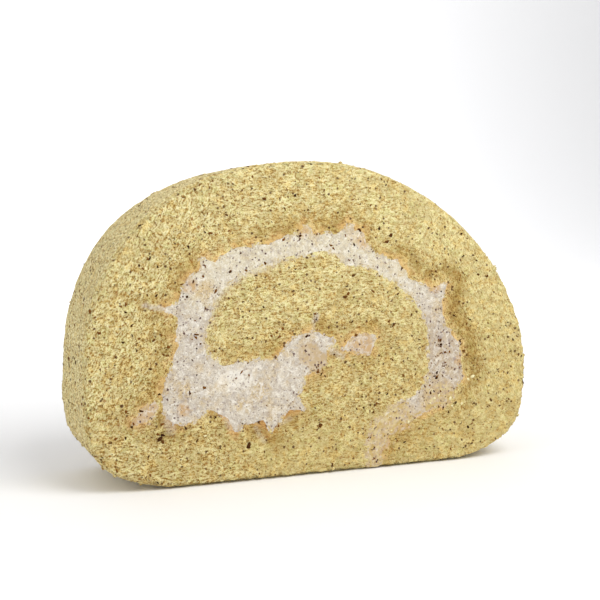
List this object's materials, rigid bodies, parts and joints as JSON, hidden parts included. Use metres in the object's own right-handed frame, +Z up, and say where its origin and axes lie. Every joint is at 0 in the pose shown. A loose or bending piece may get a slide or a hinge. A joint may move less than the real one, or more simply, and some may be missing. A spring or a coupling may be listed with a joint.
{
  "type": "swiss roll cake slice",
  "caption": "Upright slice of tea-speckled yellow swiss roll with a pale cream swirl, standing on its flattened underside.",
  "frame": {"origin": "middle of the footprint, on the surface that the slice stands on", "axes": "+Z up, +X to the right along the width of the front cut face, +Y through the slice from the front cut face to the back one"},
  "size_m": [0.112, 0.0296, 0.0729],
  "materials": {
    "sponge": "open, slightly moist yellow sponge crumb with dark tea specks, matte",
    "cream": "smooth warm off-white cream with fine dark tea specks, soft moist sheen"
  },
  "bodies": {
    "root": {"sponge": "sponge", "cream": "cream", "cream_core": "cream", "cream_patch": "cream"}
  },
  "joints": []
}
